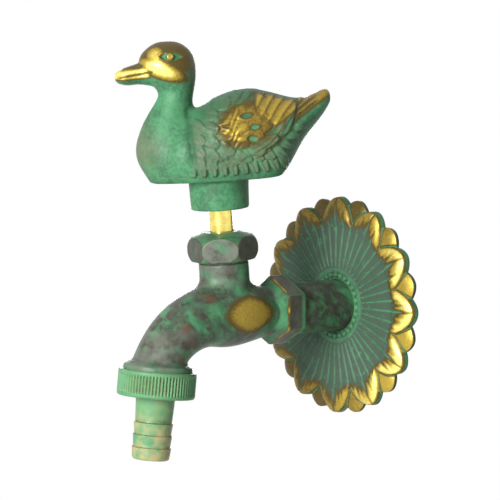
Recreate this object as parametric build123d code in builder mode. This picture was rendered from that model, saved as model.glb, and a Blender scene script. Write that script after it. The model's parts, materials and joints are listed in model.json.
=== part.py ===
from build123d import *
from math import cos, pi, radians, sin
import os

# Garden tap with a duck for a handle, a flower rosette at the wall and a hose union on its spout.
# Millimetres, +Z up. The origin is on the inlet axis at the wall face. +Y runs into the wall and
# -Y out of it, so a "reach" is a distance out of the wall along -Y.

# Fits
running_clearance = 0.05
slip_clearance = 0.3
seat_play = 0.1

# Inlet shank, with a half inch pipe thread at the wall
shank_d = 20.95
thread_length = 14.0
thread_chamfer = 1.0
relief_width = 2.0
relief_depth = 1.2
shank_length = 30.2
shank_bore_d = 13.5

# Spanner hexagons of the inlet collar and of the bonnet
hex_across_flats = 24.0
collar_length = 8.6
collar_nose = 4.4
collar_taper = 32.6

# Cast body: globe under the spindle, and a spout that bends down to the outlet
spindle_reach = 60.9
spindle_lean = 5.1
waist_r = 10.0
globe_r = 13.0
shoulder_r = 11.75
shoulder_reach = 13.4
shoulder_drop = 1.75
shoulder_slope = 25.0
elbow_r = 10.4
elbow_reach = 26.6
elbow_drop = 8.5
elbow_slope = 56.0
spout_r = 10.5
outlet_reach = 33.7
outlet_drop = 19.6
outlet_rake = 5.6
neck_r = 9.7
neck_height = 20.4
neck_fillet = 5.0

# Waterways inside the body
seat_height = 2.0
seat_lip = 0.8
seat_width = 1.3
seat_bore_r = 4.8
feed_r = 4.5
feed_drop = 6.4
chamber_r = 8.0
spout_bore_r = 5.5

# Bonnet, with its three eighths pipe thread in the neck
bonnet_thread_r = 8.33
bonnet_thread_length = 6.9
bonnet_height = 11.0
bonnet_roof = 7.7
bonnet_foot_r = 12.3
bonnet_shoulder_r = 11.7
bonnet_shoulder_drop = 1.4
bonnet_top_r = 7.2
bonnet_turn = -14.0
gasket_thickness = 0.8
gasket_width = 1.1

# Spindle, its seals and its friction washer
spindle_d = 9.0
spindle_thread_r = 6.0
spindle_pilot_r = 5.2
spindle_pilot_length = 1.4
spindle_lift = 5.0
seal_section = 1.8
seal_spacing = 2.6
seal_land = 1.6
friction_washer_thickness = 0.8
friction_washer_width = 1.2
tang_across_flats = 6.2
tang_length = 6.0
tang_seat_depth = 2.6

# Jumper valve that the spindle lifts off the seat
valve_washer_r = 6.3
valve_washer_thickness = 3.5
jumper_plate_r = 6.0
jumper_plate_thickness = 2.0
jumper_stem_r = 2.9
jumper_stem_length = 6.5
jumper_stud_r = 1.9
washer_nut_across_flats = 6.4
washer_nut_height = 2.2

# Duck handle on its round hub
hub_gap = 8.9
hub_height = 10.6
hub_foot_r = 11.2
hub_head_r = 11.6
duck_rise = 0.9
duck_heading = 39.5
screw_r = 2.0
screw_length = 6.0
screw_key = 2.0
screw_key_depth = 2.5
screw_height = 6.0
eye_r = 1.7
eye_forward = 16.6
eye_height = 48.9
eye_half_span = 8.0

# Duck's trunk from tail to breast: forward of the spindle, top, underside, half width
trunk_stations = [
    (-44.6, 31.4, 28.2, 3.4),
    (-42.6, 33.0, 24.9, 6.0),
    (-38.8, 31.5, 20.3, 8.0),
    (-33.0, 30.0, 13.4, 11.4),
    (-26.0, 31.4, 2.6, 15.0),
    (-14.0, 34.4, -4.5, 18.0),
    (-1.5, 31.9, -5.5, 18.8),
    (9.0, 27.5, -5.0, 18.0),
    (18.0, 22.0, -2.6, 14.6),
    (25.0, 15.0, 3.0, 8.0),
]
# Duck's breast, neck and head upwards: height, front, back, half width
neck_stations = [
    (-1.5, 23.5, 1.0, 10.0),
    (3.0, 27.4, 2.0, 13.0),
    (8.5, 30.2, 3.2, 14.0),
    (14.5, 30.9, 4.4, 13.4),
    (20.5, 29.1, 5.8, 11.6),
    (26.5, 26.0, 7.2, 9.3),
    (31.0, 22.9, 8.1, 7.9),
    (35.0, 21.1, 7.4, 7.2),
    (39.0, 23.8, 6.5, 8.2),
    (43.5, 27.0, 6.1, 9.6),
    (47.5, 27.7, 6.5, 9.6),
    (51.0, 25.9, 8.2, 8.0),
    (53.3, 22.9, 10.9, 5.2),
    (54.6, 19.0, 14.9, 1.7),
]
# Duck's bill forward from inside the head: forward, top, underside, half width
bill_stations = [
    (20.0, 47.0, 39.2, 5.2),
    (26.5, 47.2, 38.6, 5.8),
    (31.0, 45.9, 39.1, 6.0),
    (34.4, 44.7, 39.5, 5.9),
    (36.4, 43.8, 40.3, 4.6),
    (37.1, 42.8, 41.4, 1.8),
]
# Wing on the duck's side: where its front edge runs, and the tips of its feather rows from the top down
wing_front = [(5.5, 24.0), (1.5, 31.0), (-8.0, 38.0)]
flight_row = [(-30.0, 36.0), (-35.5, 29.6), (-33.0, 24.0), (-29.0, 18.6), (-23.5, 13.6), (-17.0, 10.4),
              (-9.0, 8.8), (-1.0, 9.0), (5.5, 11.0)]
covert_row = [(-17.0, 38.0), (-20.0, 31.0), (-20.5, 25.0), (-17.5, 19.6), (-11.5, 15.8), (-4.0, 14.2),
              (4.0, 15.2)]
shoulder_row = [(-10.0, 38.0), (-11.0, 31.0), (-10.0, 25.0), (-5.5, 20.6), (2.5, 19.4)]
feather_step = 0.8
crest_share = 0.3
feather_bulge = 1.4
wing_span = 25.0

# Wall rosette: bead ring, plain band, flutes and two rows of petals
bead_count = 28
bead_r = 1.1
bead_ring_r = 12.3
bead_bed_height = 3.0
band_inner_r = 13.7
band_outer_r = 15.2
band_height = 3.5
flute_count = 48
flute_half_width = 0.5
flute_depth = 0.7
flute_margin = 0.6
petal_count = 12
petal_root_height = 3.2
petal_lap = 1.0
petal_tip_r = 44.2
petal_length = 11.7
petal_spread = 8.7
petal_shoulder_drop = 4.6
petal_edge = 2.4
petal_bevel_height = 1.5
petal_bevel_angle = 38.0
rear_petal_edge = 1.2
rosette_wall = 1.6
rosette_rim = 3.5

# Hose union under the spout, with a three quarter inch pipe thread
outlet_thread_r = 13.2
outlet_collar = 1.7
outlet_cove = 1.6
outlet_engagement = 5.0
union_washer_thickness = 2.0
tail_flange_thickness = 1.5
union_lip = 1.4
union_r = 14.85
union_rim = 1.5
rib_count = 72
rib_depth = 0.45
tail_r = 7.45
tail_taper = 0.4
tail_length = 23.8
tail_bore_r = 5.2
barb_count = 3
barb_pitch = 4.7
tail_end_chamfer = 0.7

# Frames that the pieces are drawn in
shank_r = shank_d / 2
spindle_r = spindle_d / 2
collar_reach = shank_length + collar_length
hex_corner_r = hex_across_flats / 2 / cos(radians(30))
rosette_bore_r = shank_r + slip_clearance
petal_root_r = petal_tip_r - petal_length
petal_shoulder_r = petal_tip_r - petal_shoulder_drop
petal_half_width = petal_shoulder_r * sin(radians(petal_spread))
rosette_foot_r = petal_root_r - rosette_rim
inlet_axis = Axis((0, 0, 0), (0, -1, 0))
inlet_plane = Plane(origin=(0, 0, 0), x_dir=(1, 0, 0), z_dir=(0, -1, 0))
tap_plane = Plane(origin=(0, 0, 0), x_dir=(0, -1, 0), z_dir=(-1, 0, 0))

lean = radians(spindle_lean)
spindle_plane = Plane(origin=(0, -spindle_reach, 0), x_dir=(1, 0, 0), z_dir=(0, -sin(lean), cos(lean)))
spindle_axis = Axis(spindle_plane.origin, spindle_plane.z_dir)

rake = radians(outlet_rake)
outlet_plane = Plane(
    origin=(0, -spindle_reach - outlet_reach, -outlet_drop),
    x_dir=(1, 0, 0),
    z_dir=(0, -sin(rake), -cos(rake)),
)
outlet_axis = Axis(outlet_plane.origin, outlet_plane.z_dir)

# Heights up the spindle axis
bonnet_foot = neck_height + gasket_thickness
bonnet_top = bonnet_foot + bonnet_height
bonnet_end = bonnet_foot - bonnet_thread_length
jumper_foot = seat_height + valve_washer_thickness
spindle_end = jumper_foot + jumper_plate_thickness + seat_play
bonnet_ceiling = bonnet_top - bonnet_roof
spindle_shoulder = bonnet_ceiling - friction_washer_thickness - spindle_lift - seat_play
seal_heights = [bonnet_ceiling + seal_land, bonnet_ceiling + seal_land + seal_spacing]
hub_foot = bonnet_top + hub_gap
duck_base = hub_foot + hub_height
tang_foot = hub_foot + tang_seat_depth

# Distances down the outlet axis
union_washer_top = outlet_engagement
tail_flange_top = union_washer_top + union_washer_thickness
tail_flange_foot = tail_flange_top + tail_flange_thickness
union_height = tail_flange_foot + seat_play + union_lip
tail_end = union_height + tail_length
union_bore_r = outlet_thread_r + running_clearance
union_lip_r = tail_r + slip_clearance

heading = radians(duck_heading)
duck_plane = Plane(
    origin=spindle_plane.from_local_coords((0, 0, duck_base)),
    x_dir=spindle_plane.x_dir * -sin(heading) - spindle_plane.y_dir * cos(heading),
    z_dir=spindle_plane.z_dir,
)
tang_turn = 90 - duck_heading
screw_plane = Plane(
    origin=spindle_plane.from_local_coords((0, 0, hub_foot + screw_height)),
    x_dir=duck_plane.x_dir,
    z_dir=-duck_plane.y_dir,
)
duck_side = Plane(origin=duck_plane.origin, x_dir=duck_plane.x_dir, z_dir=-duck_plane.y_dir)


def half_plane(plane):
    """Plane for a turned profile: x is the distance from the plane's axis and y runs along that axis."""
    return Plane(origin=plane.origin, x_dir=plane.x_dir, z_dir=-plane.y_dir)


def spout_plane(reach, drop, slope):
    """Plane across the body at a reach beyond the spindle, facing out and down by the slope."""
    angle = radians(slope)
    return Plane(
        origin=(0, -spindle_reach - reach, -drop),
        x_dir=(1, 0, 0),
        z_dir=(0, -cos(angle), -sin(angle)),
    )


def oval(plane, half_width, first, last):
    """A closed oval on the plane: half_width each way along x, and from first to last along y."""
    middle = (first + last) / 2
    half = (last - first) / 2
    turns = [radians(45 * step) for step in range(8)]
    with BuildSketch(plane) as section:
        with BuildLine():
            Spline(*[(half_width * cos(turn), middle + half * sin(turn)) for turn in turns], periodic=True)
        make_face()
    return section.sketch


def across_duck(stations, swell):
    """The ovals that cross the duck from side to side, each swelled outwards by the same amount."""
    sections = []
    for forward, top, underside, half_width in stations:
        place = duck_plane.from_local_coords((forward, 0, 0))
        plane = Plane(origin=place, x_dir=duck_plane.y_dir, z_dir=duck_plane.x_dir)
        sections.append(oval(plane, half_width + swell, underside - swell, top + swell * crest_share))
    return sections


def up_neck(stations):
    """The level ovals of the duck's neck and head."""
    sections = []
    for height, front, back, half_width in stations:
        place = duck_plane.from_local_coords((0, 0, height))
        plane = Plane(origin=place, x_dir=-duck_plane.y_dir, z_dir=duck_plane.z_dir)
        sections.append(oval(plane, half_width, back, front))
    return sections


def feather_row(tips, swell):
    """The swelled trunk behind the wing's front edge, cut to a row of rounded feather tips."""
    with BuildPart() as row:
        loft(across_duck(trunk_stations, swell))
        with BuildSketch(duck_side):
            with BuildLine():
                for first, last in zip(tips, tips[1:]):
                    SagittaArc(first, last, feather_bulge)
                Polyline(tips[-1], *wing_front, tips[0])
            make_face()
        extrude(amount=wing_span, both=True, mode=Mode.INTERSECT)
    return row.part


def petals(height, turn):
    """One row of the rosette's petals, flat, at a height off the wall and turned about the inlet axis."""
    root_r = petal_root_r - petal_lap
    root_angle = pi / petal_count + petal_lap / root_r
    root = (root_r * sin(root_angle), root_r * cos(root_angle))
    with BuildSketch() as petal:
        with BuildLine():
            ThreePointArc(root, (petal_half_width, petal_shoulder_r), (0, petal_tip_r))
            Polyline((0, petal_tip_r), (0, root[1]), root)
        make_face()
        mirror(about=Plane.YZ)
    with BuildSketch(inlet_plane.offset(height)) as row:
        with PolarLocations(0, petal_count, start_angle=turn):
            add(petal.sketch)
    return row.sketch


# Cast body, from the threaded end in the wall to the threaded outlet
with BuildPart() as tap_body:
    with BuildSketch(inlet_plane.offset(shank_length)):
        RegularPolygon(radius=hex_across_flats / 2, side_count=6, major_radius=False, rotation=30)
    extrude(amount=collar_length)
    with BuildSketch(inlet_plane.offset(collar_reach)):
        RegularPolygon(radius=hex_across_flats / 2, side_count=6, major_radius=False, rotation=30)
    extrude(amount=collar_nose, taper=collar_taper)
    with BuildSketch(tap_plane):
        Polygon(
            (-thread_length, 0),
            (-thread_length, shank_r - thread_chamfer),
            (thread_chamfer - thread_length, shank_r),
            (0, shank_r),
            (0, shank_r - relief_depth),
            (relief_width, shank_r - relief_depth),
            (relief_width, shank_r),
            (shank_length + collar_length / 2, shank_r),
            (shank_length + collar_length / 2, 0),
            align=None,
        )
    revolve(axis=inlet_axis)
    with BuildSketch(spout_plane(collar_reach - collar_length / 2 - spindle_reach, 0, 0)):
        Circle(waist_r)
    with BuildSketch(spout_plane((collar_reach - spindle_reach) / 2, 0, 0)):
        Circle((waist_r + globe_r) / 2)
    with BuildSketch(spout_plane(0, 0, 0)):
        Circle(globe_r)
    with BuildSketch(spout_plane(shoulder_reach, shoulder_drop, shoulder_slope)):
        Circle(shoulder_r)
    with BuildSketch(spout_plane(elbow_reach, elbow_drop, elbow_slope)):
        Circle(elbow_r)
    with BuildSketch(outlet_plane.offset(-outlet_collar)):
        Circle(spout_r)
    loft()
    body_edges = tap_body.edges()
    with BuildSketch(spindle_plane):
        Circle(neck_r)
    extrude(amount=neck_height)
    neck_seam = [edge for edge in tap_body.edges() - body_edges if edge.center().Z < neck_height * 3 / 4]
    fillet(neck_seam, neck_fillet)
    with BuildSketch(half_plane(outlet_plane)):
        Polygon(
            (0, -outlet_collar - outlet_cove),
            (spout_r, -outlet_collar - outlet_cove),
            (outlet_thread_r, -outlet_collar),
            (outlet_thread_r, outlet_engagement),
            (0, outlet_engagement),
            align=None,
        )
    revolve(axis=outlet_axis)
    # Waterways: shank bore, sloping feed, seat, valve chamber and spout bore
    with BuildSketch(inlet_plane.offset(-thread_length)):
        Circle(shank_bore_d / 2)
    extrude(amount=thread_length + shank_length, mode=Mode.SUBTRACT)
    feed_start = Vector(0, -shank_length + feed_r, 0)
    feed_run = Vector(0, -spindle_reach, -feed_drop) - feed_start
    with BuildSketch(Plane(origin=feed_start, x_dir=(1, 0, 0), z_dir=feed_run)):
        Circle(feed_r)
    extrude(amount=feed_run.length, mode=Mode.SUBTRACT)
    with BuildSketch(half_plane(spindle_plane)):
        Polygon(
            (0, -feed_drop),
            (seat_bore_r, -feed_drop),
            (seat_bore_r, seat_height),
            (seat_bore_r + seat_width, seat_height),
            (seat_bore_r + seat_width, seat_height - seat_lip),
            (chamber_r, seat_height - seat_lip),
            (chamber_r, bonnet_end - seat_play),
            (bonnet_thread_r + running_clearance, bonnet_end - seat_play),
            (bonnet_thread_r + running_clearance, neck_height),
            (0, neck_height),
            align=None,
        )
    revolve(axis=spindle_axis, mode=Mode.SUBTRACT)
    with BuildSketch(spout_plane(chamber_r - seat_width, -spout_bore_r - seat_height, shoulder_slope)):
        Circle(spout_bore_r)
    with BuildSketch(spout_plane(shoulder_reach, -seat_height, (shoulder_slope + elbow_slope) / 2)):
        Circle(spout_bore_r)
    with BuildSketch(spout_plane(elbow_reach, elbow_drop, elbow_slope)):
        Circle(spout_bore_r)
    with BuildSketch(outlet_plane.offset(-outlet_collar)):
        Circle(spout_bore_r)
    with BuildSketch(outlet_plane.offset(outlet_engagement)):
        Circle(spout_bore_r)
    loft(mode=Mode.SUBTRACT)

# Bonnet: a domed hexagon with a threaded stem, bored for the spindle and its seals
with BuildPart() as bonnet:
    with BuildSketch(spindle_plane.offset(bonnet_foot)):
        RegularPolygon(radius=hex_across_flats / 2, side_count=6, major_radius=False, rotation=bonnet_turn)
    extrude(amount=bonnet_height)
    bonnet_shoulder = bonnet_top - bonnet_shoulder_drop
    with BuildSketch(half_plane(spindle_plane)):
        with BuildLine():
            ThreePointArc(
                (bonnet_foot_r, bonnet_foot),
                (hex_corner_r, (bonnet_foot + bonnet_shoulder) / 2),
                (bonnet_shoulder_r, bonnet_shoulder),
            )
            Polyline(
                (bonnet_shoulder_r, bonnet_shoulder),
                (bonnet_top_r, bonnet_top),
                (0, bonnet_top),
                (0, bonnet_foot),
                (bonnet_foot_r, bonnet_foot),
            )
        make_face()
    revolve(axis=spindle_axis, mode=Mode.INTERSECT)
    with BuildSketch(spindle_plane.offset(bonnet_end)):
        Circle(bonnet_thread_r)
    extrude(amount=bonnet_thread_length)
    seal_gland_r = spindle_r + running_clearance + seal_section + running_clearance
    with BuildSketch(half_plane(spindle_plane)):
        Polygon(
            (0, bonnet_end),
            (spindle_thread_r + running_clearance, bonnet_end),
            (spindle_thread_r + running_clearance, bonnet_ceiling),
            (spindle_r + running_clearance, bonnet_ceiling),
            (spindle_r + running_clearance, bonnet_top),
            (0, bonnet_top),
            align=None,
        )
        for height in seal_heights:
            with Locations((seal_gland_r / 2, height)):
                Rectangle(seal_gland_r, seal_section + 2 * running_clearance)
    revolve(axis=spindle_axis, mode=Mode.SUBTRACT)

with BuildPart() as bonnet_gasket:
    with BuildSketch(spindle_plane.offset(neck_height)):
        Circle(bonnet_thread_r + running_clearance + gasket_width)
        Circle(bonnet_thread_r + running_clearance, mode=Mode.SUBTRACT)
    extrude(amount=gasket_thickness)


def spindle_seal(height):
    """An O-ring around the spindle, in its groove in the bonnet."""
    with BuildPart() as seal:
        with BuildSketch(half_plane(spindle_plane)):
            with Locations((spindle_r + running_clearance + seal_section / 2, height)):
                Circle(seal_section / 2)
        revolve(axis=spindle_axis)
    return seal


lower_seal = spindle_seal(seal_heights[0])
upper_seal = spindle_seal(seal_heights[1])

# Spindle: threaded foot, round stem and a square tang for the handle
with BuildPart() as spindle:
    with BuildSketch(half_plane(spindle_plane)):
        Polygon(
            (0, spindle_end),
            (spindle_pilot_r, spindle_end),
            (spindle_pilot_r, spindle_end + spindle_pilot_length),
            (spindle_thread_r, spindle_end + spindle_pilot_length),
            (spindle_thread_r, spindle_shoulder),
            (spindle_r, spindle_shoulder),
            (spindle_r, tang_foot),
            (0, tang_foot),
            align=None,
        )
    revolve(axis=spindle_axis)
    with BuildSketch(spindle_plane.offset(tang_foot)):
        Rectangle(tang_across_flats, tang_across_flats, rotation=tang_turn)
    extrude(amount=tang_length)
    with BuildSketch(spindle_plane.offset(spindle_end)):
        Circle(jumper_stem_r + running_clearance)
    extrude(amount=jumper_stem_length, mode=Mode.SUBTRACT)

with BuildPart() as friction_washer:
    with BuildSketch(spindle_plane.offset(spindle_shoulder)):
        Circle(spindle_r + running_clearance + friction_washer_width)
        Circle(spindle_r + running_clearance, mode=Mode.SUBTRACT)
    extrude(amount=friction_washer_thickness)

# Jumper valve: plate and stem, with a stud that holds the rubber washer by a nut
with BuildPart() as jumper_valve:
    with BuildSketch(half_plane(spindle_plane)):
        Polygon(
            (0, seat_height - washer_nut_height - seat_lip),
            (jumper_stud_r, seat_height - washer_nut_height - seat_lip),
            (jumper_stud_r, jumper_foot),
            (jumper_plate_r, jumper_foot),
            (jumper_plate_r, jumper_foot + jumper_plate_thickness),
            (jumper_stem_r, jumper_foot + jumper_plate_thickness),
            (jumper_stem_r, jumper_foot + jumper_plate_thickness + jumper_stem_length),
            (0, jumper_foot + jumper_plate_thickness + jumper_stem_length),
            align=None,
        )
    revolve(axis=spindle_axis)

with BuildPart() as valve_washer:
    with BuildSketch(spindle_plane.offset(seat_height)):
        Circle(valve_washer_r)
        Circle(jumper_stud_r + running_clearance, mode=Mode.SUBTRACT)
    extrude(amount=valve_washer_thickness)

with BuildPart() as washer_nut:
    with BuildSketch(spindle_plane.offset(seat_height - washer_nut_height)):
        RegularPolygon(radius=washer_nut_across_flats / 2, side_count=6, major_radius=False)
        Circle(jumper_stud_r + running_clearance, mode=Mode.SUBTRACT)
    extrude(amount=washer_nut_height)

# Duck handle: trunk, neck, bill, wings and hub in one casting
with BuildPart() as duck_handle:
    loft(across_duck(trunk_stations, 0))
    loft(up_neck(neck_stations))
    loft(across_duck(bill_stations, 0))
    for layer, tips in enumerate([flight_row, covert_row, shoulder_row], start=1):
        add(feather_row(tips, layer * feather_step))
    split(bisect_by=duck_plane.offset(duck_rise), keep=Keep.TOP)
    for side in (-1, 1):
        with Locations(duck_plane.from_local_coords((eye_forward, side * eye_half_span, eye_height))):
            Sphere(eye_r)
    with BuildSketch(half_plane(spindle_plane)):
        Polygon(
            (0, hub_foot),
            (hub_foot_r, hub_foot),
            (hub_head_r, duck_base),
            (hub_head_r, duck_base + 2 * duck_rise),
            (0, duck_base + 2 * duck_rise),
            align=None,
        )
    revolve(axis=spindle_axis)
    with BuildSketch(spindle_plane.offset(hub_foot)):
        Circle(spindle_r + running_clearance)
    extrude(amount=tang_seat_depth, mode=Mode.SUBTRACT)
    with BuildSketch(spindle_plane.offset(tang_foot)):
        socket = tang_across_flats + 2 * running_clearance
        Rectangle(socket, socket, rotation=tang_turn)
    extrude(amount=tang_length + seat_play, mode=Mode.SUBTRACT)
    with BuildSketch(screw_plane):
        Circle(screw_r + running_clearance)
    extrude(amount=2 * hub_head_r, mode=Mode.SUBTRACT)

with BuildPart() as handle_screw:
    with BuildSketch(screw_plane.offset(tang_across_flats / 2 + seat_play)):
        Circle(screw_r)
    extrude(amount=screw_length)
    with BuildSketch(screw_plane.offset(tang_across_flats / 2 + seat_play + screw_length)):
        RegularPolygon(radius=screw_key / 2, side_count=6, major_radius=False)
    extrude(amount=-screw_key_depth, mode=Mode.SUBTRACT)

# Wall rosette: a dished plate with beads, flutes and two rows of petals
with BuildPart() as flute_groove:
    flute_rise = petal_root_height - band_height
    flute_run = petal_root_r - band_outer_r
    flute_slope = Vector(0, flute_run, flute_rise)
    flute_start = Vector(0, band_outer_r, band_height) + flute_slope.normalized() * flute_margin
    with BuildSketch(Plane(origin=flute_start, x_dir=(1, 0, 0), z_dir=flute_slope)):
        Polygon(
            (-2 * flute_half_width, -flute_depth),
            (2 * flute_half_width, -flute_depth),
            (0, flute_depth),
            align=None,
        )
    extrude(amount=flute_slope.length - 2 * flute_margin)

with BuildPart(inlet_plane) as wall_rosette:
    extrude(petals(0, 180 / petal_count), amount=rear_petal_edge)
    extrude(petals(rear_petal_edge, 180 / petal_count), amount=petal_bevel_height, taper=petal_bevel_angle)
    extrude(petals(0, 0), amount=petal_edge)
    extrude(petals(petal_edge, 0), amount=petal_bevel_height, taper=petal_bevel_angle)
    with BuildSketch(tap_plane):
        Polygon(
            (0, rosette_bore_r),
            (bead_bed_height, rosette_bore_r),
            (bead_bed_height, band_inner_r),
            (band_height, band_inner_r),
            (band_height, band_outer_r),
            (petal_root_height, petal_root_r),
            (0, petal_root_r),
            align=None,
        )
    revolve(axis=inlet_axis)
    with PolarLocations(0, flute_count):
        add(flute_groove.part, mode=Mode.SUBTRACT)
    with Locations((0, 0, bead_bed_height)):
        with PolarLocations(bead_ring_r, bead_count):
            Cone(bead_r, bead_r / 2, bead_r, align=(Align.CENTER, Align.CENTER, Align.MIN))
    with BuildSketch(tap_plane):
        Polygon(
            (0, band_outer_r),
            (band_height - rosette_wall - flute_depth, band_outer_r),
            (petal_root_height - rosette_wall, rosette_foot_r),
            (0, rosette_foot_r),
            align=None,
        )
    revolve(axis=inlet_axis, mode=Mode.SUBTRACT)

# Union nut: a ribbed ring with plain rims, threaded on the outlet and lipped under the tail's flange
with BuildPart() as union_nut:
    with BuildSketch(half_plane(outlet_plane)):
        Polygon(
            (union_lip_r, union_height - union_lip),
            (union_bore_r, union_height - union_lip),
            (union_bore_r, 0),
            (union_r - union_rim / 2, 0),
            (union_r, union_rim / 2),
            (union_r, union_height - union_rim / 2),
            (union_r - union_rim / 2, union_height),
            (union_lip_r, union_height),
            align=None,
        )
    revolve(axis=outlet_axis)
    with BuildSketch(outlet_plane.offset(union_rim)):
        with PolarLocations(union_r, rib_count):
            Rectangle(2 * rib_depth, pi * union_r / rib_count)
    extrude(amount=union_height - 2 * union_rim, mode=Mode.SUBTRACT)

with BuildPart() as union_washer:
    with BuildSketch(outlet_plane.offset(union_washer_top)):
        Circle(union_bore_r - slip_clearance)
        Circle(spout_bore_r, mode=Mode.SUBTRACT)
    extrude(amount=union_washer_thickness)

# Hose tail: flange, plain neck and barbs that taper towards the free end
barb_top = tail_end - barb_count * barb_pitch
tail_profile = [
    (tail_bore_r, tail_flange_top),
    (union_bore_r - slip_clearance, tail_flange_top),
    (union_bore_r - slip_clearance, tail_flange_foot),
    (tail_r, tail_flange_foot),
    (tail_r, union_height),
    (tail_r - tail_taper, barb_top),
]
for barb in range(barb_count):
    tail_profile.append((tail_r, barb_top + barb * barb_pitch))
    tail_profile.append((tail_r - tail_taper, barb_top + (barb + 1) * barb_pitch))
tail_profile[-1] = (tail_r - tail_taper, tail_end - tail_end_chamfer)
tail_profile.append((tail_r - tail_taper - tail_end_chamfer, tail_end))
tail_profile.append((tail_bore_r, tail_end))

with BuildPart() as hose_tail:
    with BuildSketch(half_plane(outlet_plane)):
        Polygon(*tail_profile, align=None)
    revolve(axis=outlet_axis)

pieces = {
    "tap_body": tap_body,
    "wall_rosette": wall_rosette,
    "bonnet": bonnet,
    "bonnet_gasket": bonnet_gasket,
    "spindle_seal_lower": lower_seal,
    "spindle_seal_upper": upper_seal,
    "spindle": spindle,
    "friction_washer": friction_washer,
    "jumper_valve": jumper_valve,
    "valve_washer": valve_washer,
    "washer_nut": washer_nut,
    "duck_handle": duck_handle,
    "handle_screw": handle_screw,
    "union_nut": union_nut,
    "union_washer": union_washer,
    "hose_tail": hose_tail,
}

os.makedirs("parts", exist_ok=True)
for name, piece in pieces.items():
    piece.part.label = name
    export_step(piece.part, f"parts/{name}.step")
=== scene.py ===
import json
from math import cos, pi, radians, sin

import bmesh
import bpy
import numpy as np
from bpy.props import FloatProperty, FloatVectorProperty, IntProperty, PointerProperty
from mathutils import Matrix, Vector


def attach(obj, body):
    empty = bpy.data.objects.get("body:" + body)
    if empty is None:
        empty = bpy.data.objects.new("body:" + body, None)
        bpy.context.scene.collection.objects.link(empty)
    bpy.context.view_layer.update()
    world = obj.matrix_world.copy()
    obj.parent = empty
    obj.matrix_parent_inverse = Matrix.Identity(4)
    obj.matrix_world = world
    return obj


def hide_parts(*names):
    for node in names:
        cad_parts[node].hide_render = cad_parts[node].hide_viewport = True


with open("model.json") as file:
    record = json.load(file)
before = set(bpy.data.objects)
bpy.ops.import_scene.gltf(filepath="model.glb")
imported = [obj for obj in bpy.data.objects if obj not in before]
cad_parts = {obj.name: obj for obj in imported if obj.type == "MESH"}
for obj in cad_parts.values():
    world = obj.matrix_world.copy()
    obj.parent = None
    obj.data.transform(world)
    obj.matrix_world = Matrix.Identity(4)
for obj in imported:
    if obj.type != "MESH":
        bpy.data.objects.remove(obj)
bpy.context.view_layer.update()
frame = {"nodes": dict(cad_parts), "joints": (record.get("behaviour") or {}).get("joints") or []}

bl_info = {
    "name": "Garden tap with a duck handle",
    "version": (1, 0, 0),
    "blender": (4, 5, 0),
    "location": "View3D > Sidebar > Garden tap",
    "description": "Dresses the garden tap's solids in cast, patinated and gilt brass",
    "category": "Object",
}

# Millimetres in the code are metres in Blender.
MM = 0.001
JOINTS = {joint["name"]: joint for joint in frame["joints"]}

# Axes of the tap, in millimetres: the spindle goes up out of the body, and the outlet looks down.
SPINDLE_FOOT = np.array(JOINTS["handle_turn"]["pos_m"]) / MM
SPINDLE_UP = np.array(JOINTS["handle_turn"]["axis"])
OUTLET_FACE = np.array(JOINTS["union_turn"]["pos_m"]) / MM
OUTLET_DOWN = np.array(JOINTS["union_turn"]["axis"])
ACROSS = np.array((1.0, 0.0, 0.0))
SPINDLE_BACK = np.cross(SPINDLE_UP, ACROSS)

# The duck stands on the hub and looks out of the wall, turned towards the far side.
DUCK_HEADING = radians(39.5)
DUCK_BASE = SPINDLE_FOOT + SPINDLE_UP * 51.7
DUCK_FORWARD = -sin(DUCK_HEADING) * ACROSS - cos(DUCK_HEADING) * SPINDLE_BACK
DUCK_SIDE = np.cross(SPINDLE_UP, DUCK_FORWARD)


def linear(code):
    """An sRGB hex colour as linear red, green and blue."""
    channels = [int(code[place:place + 2], 16) / 255 for place in (1, 3, 5)]
    return [c / 12.92 if c <= 0.04045 else ((c + 0.055) / 1.055) ** 2.4 for c in channels]


def length(name, description, default):
    """A size in millimetres, kept as a length in metres."""
    return FloatProperty(name=name, description=description, default=default * MM, unit="LENGTH",
                         precision=5)


def colour(name, description, code):
    """A colour given as sRGB hex."""
    return FloatVectorProperty(name=name, description=description, default=linear(code), size=3,
                               subtype="COLOR", min=0, max=1)


class GardenTapSizes(bpy.types.PropertyGroup):
    """Sizes of the details that the castings carry."""

    skin: length("Cast skin", "Grain of the remeshed casting", 0.42)
    feather_depth: length("Feather depth", "How far the duck's feathers stand out", 1.35)
    eye_radius: length("Eye", "Radius of the duck's eyeball", 2.0)
    flute_depth: length("Flute depth", "Depth of the rosette's grooves", 0.6)
    crease_depth: length("Petal crease", "Depth of the crease in each petal", 0.35)
    bead_radius: length("Bead", "Radius of the beads round the shank", 1.25)
    rib_depth: length("Rib depth", "Depth of the union's finger ribs", 0.5)
    thread_pitch: length("Thread pitch", "Pitch of the inlet's pipe thread", 1.814)
    flute_count: IntProperty(name="Flutes", description="Grooves on the rosette", default=48, min=12)
    petal_count: IntProperty(name="Petals", description="Petals in each of the two rows", default=12, min=4)
    bead_count: IntProperty(name="Beads", description="Beads round the shank", default=28, min=8)
    rib_count: IntProperty(name="Ribs", description="Finger ribs round the union", default=72, min=12)


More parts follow.
